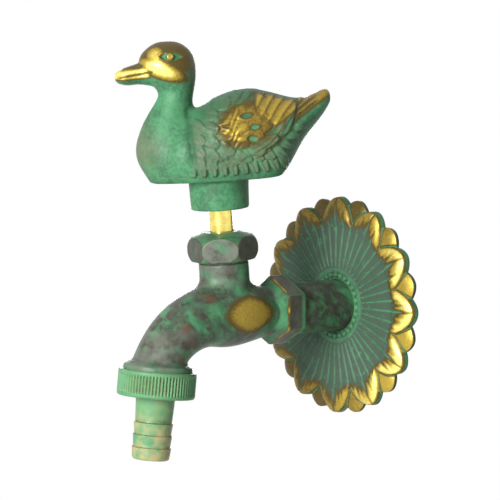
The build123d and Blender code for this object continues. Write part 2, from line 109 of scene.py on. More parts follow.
class GardenTapColours(bpy.types.PropertyGroup):
    """Colours of the patina, the gilding and the bare metal."""

    verdigris: colour("Verdigris", "Bright green in the hollows", "#4f8f63")
    deep_green: colour("Deep green", "Darker green of the plain skin", "#3c6b4b")
    rubbed: colour("Rubbed patina", "Grey brown where the green is rubbed thin", "#6d7159")
    # Painted shade: darkens the duck under its tail, along its back and in the valley by the neck.
    shade: colour("Shade", "Dark green under the tail and along the back", "#2c4f36")
    strip: colour("Strip", "Dark grey green between the rosette's grooves", "#435246")
    bronze: colour("Bronze", "Brown metal at the edge of the gilding", "#5b4b22")
    gold: colour("Gold", "Rubbed gold", "#b3993b")
    pale_gold: colour("Pale gold", "Gold on the highest places", "#f8ea84")
    umber: colour("Umber", "Dark patches of the body's marbled patina", "#3d3c34")
    slate: colour("Slate", "Paler grey in the dark patches", "#4f5349")
    # Pewter: a sheen partly painted on the body's surfaces that face the front and the top, partly rubbed
    # metal.
    pewter: colour("Pewter", "Grey sheen on the spout", "#72766a")
    rust: colour("Rust", "Brown spots on the spout", "#6d4a35")
    mint: colour("Mint", "Light green of the hose union", "#5f9a6c")
    straw: colour("Straw", "Thin wear on the hose tail", "#b3a878")
    brass: colour("Brass", "Polished spindle", "#ead071")
    steel: colour("Steel", "Grub screw", "#8c8d90")
    fibre: colour("Fibre", "Bonnet gasket", "#587458")
    rubber: colour("Rubber", "Seals and washers", "#1b1b1b")
    nylon: colour("Nylon", "Friction washer", "#ded9cc")
    floor: colour("Floor", "Studio floor", "#f2f2f0")


def step(low, high, values):
    """A smooth rise from 0 at low to 1 at high."""
    share = np.clip((values - low) / (high - low), 0, 1)
    return share * share * (3 - 2 * share)


def line(distance, half):
    """A soft line: 1 where the distance is 0, and nearly 0 at twice the half width."""
    return np.exp(-(distance / half) ** 2)


def cast_copy(node, skin_mm, passes):
    """A merged copy of a CAD node with an even skin, softened as a sand casting is."""
    mesh = frame["nodes"][node].data.copy()
    shape = bmesh.new()
    shape.from_mesh(mesh)
    bmesh.ops.remove_doubles(shape, verts=shape.verts, dist=0.002 * MM)
    shape.to_mesh(mesh)
    shape.free()
    carrier = bpy.data.objects.new("carrier", mesh)
    bpy.context.scene.collection.objects.link(carrier)
    skin = carrier.modifiers.new("skin", "REMESH")
    skin.mode = "VOXEL"
    skin.voxel_size = skin_mm * MM
    evaluated = carrier.evaluated_get(bpy.context.evaluated_depsgraph_get())
    even = bpy.data.meshes.new_from_object(evaluated)
    bpy.data.objects.remove(carrier)
    bpy.data.meshes.remove(mesh)
    shape = bmesh.new()
    shape.from_mesh(even)
    bpy.data.meshes.remove(even)
    for _ in range(passes):
        bmesh.ops.smooth_vert(shape, verts=shape.verts, factor=0.5, use_axis_x=True, use_axis_y=True,
                              use_axis_z=True)
    return shape


def turned(points, origin, axis, steps):
    """A closed ring turned from a profile of (radius, distance along the axis) in millimetres."""
    shape = bmesh.new()
    corners = []
    for radius, along in points:
        corners.append(shape.verts.new(Vector(origin + ACROSS * radius + axis * along) * MM))
    rim = [shape.edges.new((a, b)) for a, b in zip(corners, corners[1:] + corners[:1])]
    bmesh.ops.spin(shape, geom=corners + rim, cent=Vector(origin) * MM, axis=Vector(axis), angle=2 * pi,
                   steps=steps, use_merge=True)
    bmesh.ops.remove_doubles(shape, verts=shape.verts, dist=0.001 * MM)
    bmesh.ops.recalc_face_normals(shape, faces=shape.faces)
    return shape


def make_piece(name, shape, body, material, nodes):
    """The finished object of a piece, on its body and in place of its CAD nodes."""
    mesh = bpy.data.meshes.new(name)
    shape.to_mesh(mesh)
    shape.free()
    mesh.polygons.foreach_set("use_smooth", np.ones(len(mesh.polygons), bool))
    mesh.materials.append(material)
    piece = bpy.data.objects.new(name, mesh)
    bpy.context.scene.collection.objects.link(piece)
    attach(piece, body)
    if nodes:
        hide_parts(*nodes)
    return piece


def read_points(mesh):
    """Vertex places in millimetres and vertex normals, as arrays."""
    count = len(mesh.vertices)
    places = np.zeros(count * 3, np.float32)
    mesh.vertices.foreach_get("co", places)
    normals = np.zeros(count * 3, np.float32)
    mesh.vertex_normals.foreach_get("vector", normals)
    return places.reshape(-1, 3).astype(float) / MM, normals.reshape(-1, 3).astype(float)


def write_points(mesh, places):
    """Puts vertex places in millimetres back on the mesh."""
    mesh.vertices.foreach_set("co", (places * MM).astype(np.float32).ravel())
    mesh.update()


def keep_layers(mesh, **layers):
    """Keeps a number from 0 to 1 for each vertex in each layer, as attributes that the materials read."""
    for name, values in layers.items():
        layer = mesh.attributes.new(name, "FLOAT", "POINT")
        layer.data.foreach_set("value", np.clip(values, 0, 1).astype(np.float32))


# The pattern scale for one blotch to the millimetre, and settings that masks and colour mixes share.
PER_MM = 1 / MM
SOFT = {"interpolation_type": "SMOOTHSTEP"}
COLOUR = {"data_type": "RGBA"}


def add_node(tree, kind, sockets=None, **settings):
    """Adds a node with its settings and links. A node given to an input passes on its first output."""
    node = tree.nodes.new("ShaderNode" + kind)
    for name, value in settings.items():
        setattr(node, name, value)
    for name, value in (sockets or {}).items():
        socket = node.inputs[name]
        if isinstance(value, bpy.types.Node):
            value = next(output for output in value.outputs if output.enabled)
        if isinstance(value, bpy.types.NodeSocket):
            tree.links.new(value, socket)
        elif socket.type == "RGBA":
            socket.default_value = (*value[:3], 1)
        else:
            socket.default_value = value
    return node


def start_material(name, *layers):
    """A new material, its empty tree, its object coordinates and the vertex layers that it reads."""
    material = bpy.data.materials.new(name)
    material.use_nodes = True
    tree = material.node_tree
    tree.nodes.clear()
    place = add_node(tree, "TexCoord").outputs["Object"]
    marks = [add_node(tree, "Attribute", attribute_name=layer).outputs["Fac"] for layer in layers]
    return material, tree, place, marks


def close_material(tree, sockets):
    """The surface shader with these inputs, and the material's output."""
    shader = add_node(tree, "BsdfPrincipled", sockets)
    add_node(tree, "OutputMaterial", {"Surface": shader})


def blotches(tree, place, size_mm, detail, low, high):
    """A soft mask of cloudy blotches about size_mm across: 0 where the noise is low, 1 where it is high."""
    noise = add_node(tree, "TexNoise", {"Vector": place, "Scale": PER_MM / size_mm, "Detail": detail,
                                        "Roughness": 0.55})
    return add_node(tree, "MapRange", {"Value": noise, "From Min": low, "From Max": high}, **SOFT)


def gilding(tree, place, gild, paint):
    """Mask and colour of rubbed gold: bronze at its edge, then gold, then pale gold, with rubbed speckle."""
    speckle = add_node(tree, "TexNoise", {"Vector": place, "Scale": PER_MM / 0.9, "Detail": 5,
                                          "Roughness": 0.7})
    rubbed = add_node(tree, "Math", {0: speckle, 1: 0.5, 2: gild}, operation="MULTIPLY_ADD")
    bare, bright, polished = [
        add_node(tree, "MapRange", {"Value": rubbed, "From Min": low, "From Max": high}, **SOFT)
        for low, high in ((0.31, 0.65), (0.63, 1.05), (1.0, 1.33))]
    reach = add_node(tree, "MapRange", {"Value": gild, "From Min": 0.02, "From Max": 0.2}, **SOFT)
    mask = add_node(tree, "Math", {0: bare, 1: reach}, operation="MULTIPLY")
    gold = add_node(tree, "Mix", {0: bright, 6: paint.bronze, 7: paint.gold}, **COLOUR)
    return mask, add_node(tree, "Mix", {0: polished, 6: gold, 7: paint.pale_gold}, **COLOUR)


def finish_skin(tree, place, base, mask, gold, grain_mm, roughness):
    """Joins skin and gilding: satin patina, smoother metal, and the fine grain of the casting."""
    skin = add_node(tree, "Mix", {0: mask, 6: base, 7: gold}, **COLOUR)
    metal = add_node(tree, "Math", {0: mask, 1: 0.5}, operation="MULTIPLY")
    sheen = add_node(tree, "MapRange", {"Value": mask, "To Min": roughness, "To Max": 0.42})
    grain = add_node(tree, "TexNoise", {"Vector": place, "Scale": PER_MM / grain_mm, "Detail": 3,
                                        "Roughness": 0.55})
    bump = add_node(tree, "Bump", {"Height": grain, "Strength": 0.35, "Distance": 0.12 * MM})
    close_material(tree, {"Base Color": skin, "Metallic": metal, "Roughness": sheen, "Normal": bump,
                          "Specular IOR Level": 0.28})


def gilt_patina(name, paint, rubbed, thin_from, thin_to):
    """Cast brass under painted verdigris, rubbed back to gold: satin green in the hollows, grey brown where
    it is rubbed thin and where a sheen is painted, a painted shade of dark green from the dark layer, and
    warm metal that catches the light on the high places."""
    material, tree, place, (wear, gild, dark) = start_material(name, "wear", "gild", "dark")
    broad = add_node(tree, "TexNoise", {"Vector": place, "Scale": PER_MM / 9, "Detail": 3,
                                        "Roughness": 0.55})
    small = add_node(tree, "TexNoise", {"Vector": place, "Scale": PER_MM / 1.4, "Detail": 4,
                                        "Roughness": 0.7})
    cloud = add_node(tree, "Math", {0: broad, 1: small}, operation="ADD")
    cloud = add_node(tree, "MapRange", {"Value": cloud, "From Min": 0.78, "From Max": 1.2}, **SOFT)
    skin = add_node(tree, "Mix", {0: cloud, 6: paint.deep_green, 7: paint.verdigris}, **COLOUR)
    thin = blotches(tree, place, 2.6, 4, thin_from, thin_to)
    worn = add_node(tree, "Math", {0: wear, 1: thin}, operation="MULTIPLY")
    # The rubbed colour is partly painted sheen, and the shade colour is painted shade.
    for share, layer in ((worn, rubbed), (dark, paint.shade)):
        skin = add_node(tree, "Mix", {0: share, 6: skin, 7: layer}, **COLOUR)
    mask, gold = gilding(tree, place, gild, paint)
    finish_skin(tree, place, skin, mask, gold, grain_mm=0.7, roughness=0.52)
    return material


def marbled_patina(paint):
    """Cast brass under a marbled antique patina: dark umber patches between drawn out green streaks,
    a pewter sheen that is partly painted on what faces the front and the top and partly rubbed metal, rust
    spots, and gold where it is rubbed through."""
    material, tree, place, marks = start_material("marbled patinated cast brass",
                                                  "wear", "gild", "spot", "green", "dark")
    wear, gild, spot, green_zone, dark_zone = marks
    drawn = add_node(tree, "Mapping", {"Vector": place, "Rotation": (radians(-42), 0, 0),
                                       "Scale": (1, 2.3, 1)}, vector_type="TEXTURE")
    streak = blotches(tree, drawn, 6.5, 3, 0.46, 0.62)
    cloud = blotches(tree, place, 3, 4, 0.48, 0.7)
    cloud = add_node(tree, "Math", {0: cloud, 1: 0.7}, operation="MULTIPLY")
    veins = add_node(tree, "Math", {0: streak, 1: cloud}, operation="MAXIMUM")
    veins = add_node(tree, "Math", {0: veins, 1: green_zone}, operation="MAXIMUM")
    clear = add_node(tree, "Math", {0: 1.0, 1: dark_zone}, operation="SUBTRACT")
    veins = add_node(tree, "Math", {0: veins, 1: clear}, operation="MULTIPLY")
    tone = blotches(tree, place, 5, 3, 0.35, 0.65)
    green = add_node(tree, "Mix", {0: tone, 6: paint.deep_green, 7: paint.verdigris}, **COLOUR)
    pale = blotches(tree, place, 4, 4, 0.4, 0.7)
    skin = add_node(tree, "Mix", {0: pale, 6: paint.umber, 7: paint.slate}, **COLOUR)
    sheen = blotches(tree, place, 6, 4, 0.3, 0.58)
    sheen = add_node(tree, "Math", {0: wear, 1: sheen}, operation="MULTIPLY")
    stain = add_node(tree, "Math", {0: spot, 1: 0.85}, operation="MULTIPLY")
    for share, layer in ((veins, green), (sheen, paint.pewter), (stain, paint.rust)):
        skin = add_node(tree, "Mix", {0: share, 6: skin, 7: layer}, **COLOUR)
    mask, gold = gilding(tree, place, gild, paint)
    finish_skin(tree, place, skin, mask, gold, grain_mm=0.8, roughness=0.42)
    return material


def union_patina(paint):
    """Turned brass under a thin light green wash: even mint, with straw coloured wear where it is thin."""
    material, tree, place, (wear, gild) = start_material("mint washed turned brass", "wear", "gild")
    cloud = blotches(tree, place, 6, 3, 0.3, 0.7)
    wash = add_node(tree, "Mix", {0: cloud, 6: paint.mint, 7: paint.verdigris}, **COLOUR)
    thin = blotches(tree, place, 5, 3, 0.28, 0.7)
    thin = add_node(tree, "Math", {0: wear, 1: thin}, operation="MULTIPLY")
    skin = add_node(tree, "Mix", {0: thin, 6: wash, 7: paint.straw}, **COLOUR)
    mask, gold = gilding(tree, place, gild, paint)
    finish_skin(tree, place, skin, mask, gold, grain_mm=0.5, roughness=0.46)
    return material


def polished_brass(paint):
    """Turned and polished brass: clean yellow metal with faint rings from the lathe."""
    material, tree, place, _ = start_material("polished turned brass")
    cloud = add_node(tree, "TexNoise", {"Vector": place, "Scale": PER_MM / 3, "Detail": 3,
                                        "Roughness": 0.55})
    share = add_node(tree, "MapRange", {"Value": cloud, "From Min": 0.3, "From Max": 0.7}, **SOFT)
    metal = add_node(tree, "Mix", {0: share, 6: paint.brass, 7: paint.pale_gold}, **COLOUR)
    smooth = add_node(tree, "MapRange", {"Value": cloud, "To Min": 0.16, "To Max": 0.3})
    rings = add_node(tree, "TexWave", {"Vector": place, "Scale": PER_MM / 3, "Distortion": 0.4},
                     bands_direction="Z")
    bump = add_node(tree, "Bump", {"Height": rings.outputs["Fac"], "Strength": 0.08, "Distance": 0.05 * MM})
    close_material(tree, {"Base Color": metal, "Metallic": 1.0, "Roughness": smooth, "Normal": bump})
    return material


def inner_finish(name, tone, grain_mm, spread, roughness, metallic=0.0):
    """A plain part: one tone, clouded by its own grain and slightly uneven to the touch."""
    material, tree, place, _ = start_material(name)
    cloud = add_node(tree, "TexNoise", {"Vector": place, "Scale": PER_MM / grain_mm, "Detail": 4,
                                        "Roughness": 0.55})
    share = add_node(tree, "MapRange", {"Value": cloud, "From Min": 0.3, "From Max": 0.7}, **SOFT)
    shade = [channel * spread for channel in tone]
    skin = add_node(tree, "Mix", {0: share, 6: shade, 7: tone}, **COLOUR)
    rough = add_node(tree, "MapRange", {"Value": cloud, "To Min": roughness - 0.1,
                                        "To Max": roughness + 0.1})
    bump = add_node(tree, "Bump", {"Height": cloud, "Strength": 0.2, "Distance": 0.04 * MM})
    close_material(tree, {"Base Color": skin, "Metallic": metallic, "Roughness": rough, "Normal": bump})
    return material


def finish_of(name, maker, paint):
    """The material of that name, made the first time it is asked for."""
    return bpy.data.materials.get(name) or maker(paint)


# Feather rows of one wing, and of the hem under it: root forward and up at the row's first and last feather,
# how many, sweep in degrees above straight back at both ends, length and width.
WING_ROWS = [
    ((9.0, 23.5), (8.5, 10.5), 4, (-25, -50), 5.6, 4.6),
    ((4.5, 27.0), (3.8, 9.5), 5, (-10, -55), 6.2, 4.8),
    ((0.0, 30.0), (-1.0, 10.0), 5, (10, -40), 6.6, 5.0),
    ((-4.5, 31.5), (-5.8, 11.5), 5, (25, -25), 7.0, 5.0),
    ((-9.0, 32.0), (-10.8, 13.0), 5, (30, -5), 7.6, 4.8),
    ((-14.0, 31.5), (-15.5, 14.0), 4, (30, 20), 8.2, 4.6),
]
HEM_ROWS = [
    ((10.0, 8.4), (-24.5, 9.2), 10, (-82, -68), 5.4, 3.5),
    ((7.0, 12.0), (-22.0, 12.4), 8, (-70, -40), 5.2, 3.9),
    ((-25.0, 14.5), (-30.0, 19.5), 3, (-30, 10), 5.0, 3.2),
]


def lay_feathers(rows, forward, height):
    """Height of the overlapping feathers from 0 in the crevices to 1 on the tips."""
    relief = np.zeros_like(forward)
    for first, last, count, sweeps, run, width in rows:
        for place in range(count):
            share = place / (count - 1)
            sweep = radians(sweeps[0] + (sweeps[1] - sweeps[0]) * share)
            ahead = forward - (first[0] + (last[0] - first[0]) * share)
            above = height - (first[1] + (last[1] - first[1]) * share)
            along = (-ahead * cos(sweep) + above * sin(sweep)) / (run * 1.1)
            across = np.abs(ahead * sin(sweep) + above * cos(sweep))
            half = width * 0.6 * np.sqrt(np.clip(1 - np.clip(along, 0, 1) ** 3, 0, 1))
            inside = np.minimum(half - across, (1 - along) * run)
            vane = step(0, 0.75, inside) * step(-0.25, 0.35, along) * (0.6 + 0.4 * np.clip(along, 0, 1))
            shaft = 1 - 0.22 * np.exp(-(across / 0.3) ** 2) * step(0.1, 0.3, along)
            relief = np.maximum(relief, vane * shaft)
    return relief


def oval_patch(forward, height, middle, halves, sweep, soft):
    """A soft oval on the duck's side: 1 inside, 0 outside."""
    angle = radians(sweep)
    along = (-(forward - middle[0]) * cos(angle) + (height - middle[1]) * sin(angle)) / halves[0]
    across = ((forward - middle[0]) * sin(angle) + (height - middle[1]) * cos(angle)) / halves[1]
    return step(1 + soft, 1 - soft, np.hypot(along, across))


# Places on the duck, forward and up from its base in millimetres. The ovals have a middle, half lengths,
# a sweep in degrees and a softness.
WING_MIDDLE = ((-12.4, 22.3), (10.8, 8.0), 14, 0.5)
WING_SPOTS = [
    ((-12.0, 25.5), (2.0, 0.85), 8, 0.6),
    ((-14.9, 21.2), (1.6, 0.95), 0, 0.6),
    ((-14.0, 16.8), (1.6, 0.95), -8, 0.6),
]
CHEEK = ((19.5, 44.3), (8.5, 2.9), -23, 0.75)
BROW = ((21.3, 50.2), (3.4, 2.6), 20, 0.8)
CROWN = ((15.5, 48.5), (9.5, 8.8), 0, 0.4)
EYE = (15.1, 49.0)
EYE_HALVES = (4.7, 1.75)
EYEBALL = (15.4, 49.0)
NOSTRIL = (27.5, 45.9)
NOSTRIL_HALVES = (1.3, 0.5)
TAIL_ROOT = (-33.0, 24.0)
TAIL_SWEEP = radians(32)

# Distances from one long feather, fine barb or tail furrow to the next, in millimetres.
FEATHER_PITCH = 4.6
BARB_PITCH = 2.3
FURROW_PITCH = 1.7


def shape_wing(forward, height, facing, edge):
    """Scale feathers in front, long feathers that sweep up behind, and a hem under them. Gives the relief
    from 0 in the crevices to 1 on the tips, the gilding, the green spots in it, and where the wing is."""
    rear = step(12.5, 7.5, forward + np.clip(height - 24, 0, 20) * 0.8)
    on_wing = step(0.12, 0.5, facing) * rear * step(2.6, 4.0, height) * step(-35.0, -32.0, forward)
    fold = ((forward + height + 1.0 + 0.014 * (height - forward - 54) ** 2) / FEATHER_PITCH) % 1
    ridge = (1 - fold) * step(0.0, 0.16, fold)
    primary = step(-0.2, 0.9, edge) * step(40, 46, height - forward) * step(-13.5, -17.0, forward)
    scales = lay_feathers(WING_ROWS, forward, height) * step(-0.6, 0.4, edge) * (1 - primary)
    relief = np.maximum(scales, lay_feathers(HEM_ROWS, forward, height))
    relief = np.maximum(relief, primary * (0.5 + 0.45 * ridge)) * on_wing
    middle = oval_patch(forward, height, *WING_MIDDLE)
    relief *= 1 - 0.6 * middle * (1 - primary)
    lay = 0.79 * forward + 0.61 * height + 0.8 * np.sin(forward * 0.9)
    barb = 0.5 + 0.5 * np.cos(lay * 2 * pi / BARB_PITCH)
    barb *= middle * (1 - primary) * step(-13.0, -9.5, forward)
    relief += 0.3 * barb
    spots = np.maximum.reduce([oval_patch(forward, height, *spot) for spot in WING_SPOTS]) * on_wing
    relief *= 1 - 0.75 * spots
    high = step(-1.2, 1.5, height - 17.2 + 0.71 * (forward + 18.7))
    lines = np.maximum(line(edge - 0.6, 0.4), line(edge - 3.2, 0.4)) * step(-12, -16, forward)
    gild = np.maximum.reduce([middle * (0.46 + 0.3 * relief + 0.12 * barb),
                              primary * high * (0.5 + 0.36 * ridge), 0.42 * lines]) * on_wing
    return relief, gild, spots, on_wing


def shape_tail(forward, height, edge):
    """Fine furrows that follow the tail's sweep: how far they move the skin, and the tail's gilding."""
    tail = step(0.4, -0.8, edge) * step(-27.0, -30.0, forward)
    lay = (forward - TAIL_ROOT[0]) * sin(TAIL_SWEEP) + (height - TAIL_ROOT[1]) * cos(TAIL_SWEEP)
    furrow = 0.5 + 0.5 * np.cos(lay * 2 * pi / FURROW_PITCH)
    fine = tail * step(-41.0, -36.0, forward) * step(-1.5, 0.0, lay) * step(7.0, 4.5, lay)
    gild = tail * step(-2.0, 1.0, lay) * (0.6 - 0.3 * fine * (1 - furrow))
    return fine * (furrow - 0.5) * 0.4, gild


def shape_head(forward, height, side, broad, eye_mm):
    """A ball in an almond shaped eye socket, and a full bill with mouth line and nostrils. Gives how far
    they move the skin, the head's gilding, and the share of it that the hollows leave."""
    outer = step(4, 6, side)
    along = (forward - EYE[0]) / EYE_HALVES[0]
    across = (height - EYE[1] - 0.35 * along) / EYE_HALVES[1]
    almond = np.abs(along) ** 1.6 + np.abs(across) ** 1.6
    lid = line(almond - 1.15, 0.25) * outer
    ball = step(1.05, 0.5, np.hypot(forward - EYEBALL[0], (height - EYEBALL[1]) * 1.1) / eye_mm) * outer
    socket = step(1.0, 0.55, almond) * outer * (1 - ball)
    over_mouth = height - 43.4 + 0.115 * (forward - 23)
    lips = line(over_mouth, 0.38) * step(21.8, 23.6, forward) * step(36.5, 34.5, forward)
    nostril = line(np.hypot((forward - NOSTRIL[0]) / NOSTRIL_HALVES[0],
                            (height - NOSTRIL[1]) / NOSTRIL_HALVES[1]), 1) * step(1.2, 2.5, side)
    fuller = step(26.0, 34.0, forward) * step(36.0, 39.0, height) * broad
    move = 0.3 * lid + 0.35 * ball - 0.8 * socket + 0.6 * fuller - 0.5 * lips - 0.35 * nostril
    bill = step(22.0, 25.0, forward) * step(40.6, 42.0, height)
    bill *= 0.42 + 0.58 * np.maximum(step(2.5, 1.4, over_mouth), step(33.0, 35.0, forward))
    cheek = 1.15 * oval_patch(forward, height, *CHEEK)
    brow = 0.9 * oval_patch(forward, height, *BROW)
    crown = 0.4 * oval_patch(forward, height, *CROWN) * step(38, 44, height) * (1 - 0.8 * socket)
    gild = np.maximum.reduce([bill, cheek, brow, crown, 0.8 * ball])
    return move, gild, (1 - 0.8 * lips) * (1 - 0.85 * socket) * (1 - 0.7 * nostril)


def carve_duck(mesh, sizes):
    """Carves feathers, tail, base, eyes and bill into the duck, and marks where it is rubbed and gilt, where
    a sheen is painted on the breast, and where shade is painted under the tail, along the back and in the
    valley by the neck.
    """
    places, normals = read_points(mesh)
    offset = places - DUCK_BASE
    forward = offset @ DUCK_FORWARD
    height = offset @ SPINDLE_UP
    facing = np.abs(normals @ DUCK_SIDE)
    # How far inside the wing's rounded rear edge
    edge = 11.9 - 0.024 * (0.585 * forward - 0.811 * height + 30.5) ** 2 + 0.811 * forward + 0.585 * height
    relief, wing_gild, spots, on_wing = shape_wing(forward, height, facing, edge)
    tail_move, tail_gild = shape_tail(forward, height, edge)
    head_move, head_gild, bare = shape_head(forward, height, np.abs(offset @ DUCK_SIDE),
                                            1 - np.abs(normals @ DUCK_FORWARD), sizes.eye_radius / MM)
    # A valley between the neck and the wing, and a crease above the plinth
    valley = line(forward - 9.8 + 0.13 * np.clip(19 - height, 0, 12), 1.3)
    valley *= step(5.0, 8.5, height) * step(31.0, 26.0, height) * step(0.3, 0.6, facing)
    crease = line(height - 2.3 - 0.085 * np.clip(forward - 5, 0, 30), 0.45)
    crease *= step(0.3, 0.6, 1 - np.abs(normals @ SPINDLE_UP)) * step(24, 14, forward)
    move = (relief - 0.35 * on_wing) * sizes.feather_depth / MM
    move += tail_move + head_move - 0.75 * valley - 0.4 * crease
    write_points(mesh, places + normals * move[:, None])
    gild = np.maximum.reduce([head_gild, wing_gild, tail_gild]) * bare * (1 - spots)
    # Painted sheen: rubbed grey brown on the lower breast, mixed into the real wear of the feathers.
    painted_breast_sheen = 0.8 * line(np.hypot((forward - 28) / 6, (height - 15) / 8), 1)
    back_of_head = 0.9 * line(np.hypot((forward - 6.5) / 3.0, (height - 46) / 8), 1)
    wear = np.maximum.reduce([relief * on_wing * 0.75, painted_breast_sheen, back_of_head, crease * 0.3])
    # Painted shade: darker green under the tail, along the back and in the valley by the neck.
    under_tail = step(-21, -28, forward) * step(25, 15, height + 0.35 * (forward + 30))
    along_back = step(0.2, 0.75, normals @ SPINDLE_UP) * step(9, 4, forward) * step(12, 18, height)
    dark = np.maximum.reduce([0.6 * under_tail, 0.5 * along_back, 0.5 * valley])
    keep_layers(mesh, gild=gild, wear=wear, dark=dark)


def melt_seam(shape):
    """Smooths the skin where the duck's neck grows out of its trunk, in front of the wing."""
    soft = []
    for corner in shape.verts:
        offset = np.array(corner.co) / MM - DUCK_BASE
        forward, height = offset @ DUCK_FORWARD, offset @ SPINDLE_UP
        if 1.0 < forward < 27.0 and 3.4 < height < 33.0:
            soft.append(corner)
    for _ in range(60):
        bmesh.ops.smooth_vert(shape, verts=soft, factor=0.5, use_axis_x=True, use_axis_y=True,
                              use_axis_z=True)


class GARDENTAP_OT_duck(bpy.types.Operator):
    """Casts the duck handle with its feathers, eyes and gilding"""

    bl_idname = "garden_tap.duck"
    bl_label = "Duck handle"

    def execute(self, context):
        sizes = context.scene.garden_tap_sizes
        paint = context.scene.garden_tap_colours
        shape = cast_copy("duck_handle", sizes.skin / MM, passes=7)
        finish = gilt_patina("gilt patinated cast brass", paint, paint.rubbed, thin_from=0.2, thin_to=0.56)
        melt_seam(shape)
        duck = make_piece("duck_casting", shape, "handle", finish, ["duck_handle"])
        carve_duck(duck.data, sizes)
        return {"FINISHED"}


# Rosette, in millimetres: radii from the bore out to the petals' tips, the depth of the notch between two
# petals, and the level of the front while the disc is still flat.
BORE_RADIUS = 10.55
BEAD_ROW = 12.3
BEAD_BED_EDGE = 13.5
FIELD_START = 15.2
FIELD_END = 32.5
PETAL_ROOT = 31.0
PETAL_TIP = 44.2
PETAL_NOTCH = 10.2
BLANK_LEVEL = 6.0


def petal_edge(turn, sizes):
    """Radius of a petal row's outline at a turn, in millimetres, and the angle from the petal's middle."""
    pitch = 2 * pi / sizes.petal_count
    from_middle = np.abs((turn + pitch / 2) % pitch - pitch / 2)
    return PETAL_TIP - PETAL_NOTCH * (from_middle / (pitch / 2)) ** 1.85, from_middle


def carve_rosette(mesh, sizes):
    """Raises petals and flutes out of the turned disc, and marks where it is rubbed and gilt, with a painted
    highlight that makes the gilding paler on one side.
    """
    places, _ = read_points(mesh)
    radius = np.hypot(places[:, 0], places[:, 2])
    turn = np.arctan2(places[:, 0], places[:, 2])
    out = -places[:, 1]
    on_face = out > BLANK_LEVEL - 0.5
    half_pitch = pi / sizes.petal_count
    main, main_off = petal_edge(turn, sizes)
    rear, _ = petal_edge(turn + half_pitch, sizes)
    # The round rim is drawn in to the outline of both petal rows.
    drawn_in = (np.maximum(main, rear) - PETAL_ROOT) / (PETAL_TIP - PETAL_ROOT)
    spread = np.where(radius > PETAL_ROOT, PETAL_ROOT + (radius - PETAL_ROOT) * drawn_in, radius)
    # Field: a raised ring round the beads, then flutes with rounded strips between them
    flute_pitch = 2 * pi / sizes.flute_count
    flute_off = np.abs((turn + flute_pitch / 2) % flute_pitch - flute_pitch / 2) * spread
    groove = line(flute_off, 0.34) * step(15.6, 16.4, spread)
    cone = 3.5 - 0.3 * np.clip((spread - FIELD_START) / (FIELD_END - FIELD_START), 0, 1)
    on_ring = spread < FIELD_START + 0.2
    bed = np.where(spread < BEAD_BED_EDGE, 3.0, np.where(on_ring, 3.65, cone))
    strip = 0.25 * (1 - (2 * flute_off / (flute_pitch * spread)) ** 2) * step(15.8, 18, spread)
    top = bed + (strip - groove * sizes.flute_depth / MM) * step(35.5, 32.0, spread)
    # Petals: a creased pillow for each in the front row, and a lower row that shows between them
    inside = (main - spread) * 0.72
    beyond = (rear - spread) * 0.72
    pillow = 2.8 + 1.4 * (1 - (1 - np.clip(inside / 3.0, 0, 1)) ** 2)
    crease = line(main_off * spread, 0.42) * step(34.0, 37.0, spread)
    lobe = 0.16 * np.sin(np.clip(main_off / half_pitch, 0, 1) * pi) * step(33, 37, spread)
    rise = step(31.0, 35.0, spread)
    front = np.where(spread < 32.0, top, pillow * rise + top * (1 - rise))
    front = front + lobe - crease * sizes.crease_depth / MM
    gap = line(inside, 0.5)
    behind = 1.5 + 1.3 * (1 - (1 - np.clip(beyond / 3.5, 0, 1)) ** 2) - gap
    on_main = inside > 0
    face = np.where(on_main, front, behind)
    level = np.where(on_face, np.maximum(face, 0.9), np.minimum(out, np.maximum(face - 0.4, 0.3)))
    # The back stays flat, and its pocket keeps its depth.
    level[out < 0.01] = 0
    pocket = (out > 0.01) & (radius < 29.5) & ~on_face
    level[pocket] = out[pocket]
    scale = spread / radius
    write_points(mesh, np.stack([places[:, 0] * scale, -level, places[:, 2] * scale], 1))
    # Gilding: ragged on the petals, and fuller and paler towards +x and lower down, which is a painted
    # highlight on that side
    streak = 0.8 * np.sin(turn * 61) + 0.8 * np.sin(turn * 97 + 1.1) + 0.6 * np.sin(turn * 118 + 0.4)
    rim = step(8.6, 2.0, inside + streak) * step(30.5, 36.5, spread)
    rim *= 1 - 0.45 * line(main_off * spread, 1.7) * step(43.0, 37.0, spread)
    gild = np.where(on_main, rim * (1.0 - 0.5 * step(0.6, 0, inside)), 0.75 * step(0.2, 1.4, -inside))
    # Painted highlight: more and paler gold towards +x and lower down.
    painted_highlight_side = 0.56 + 0.46 * step(-12, 34, places[:, 0] - 0.55 * np.maximum(places[:, 2], 0))
    gild *= (1 - 0.4 * crease) * painted_highlight_side * on_face
    wear = np.where(on_ring, 0.35, (1 - groove) * 0.95) * np.where(on_main | ~on_face, 1, 0.3)
    keep_layers(mesh, gild=gild, wear=wear * (1 - 0.6 * gap))


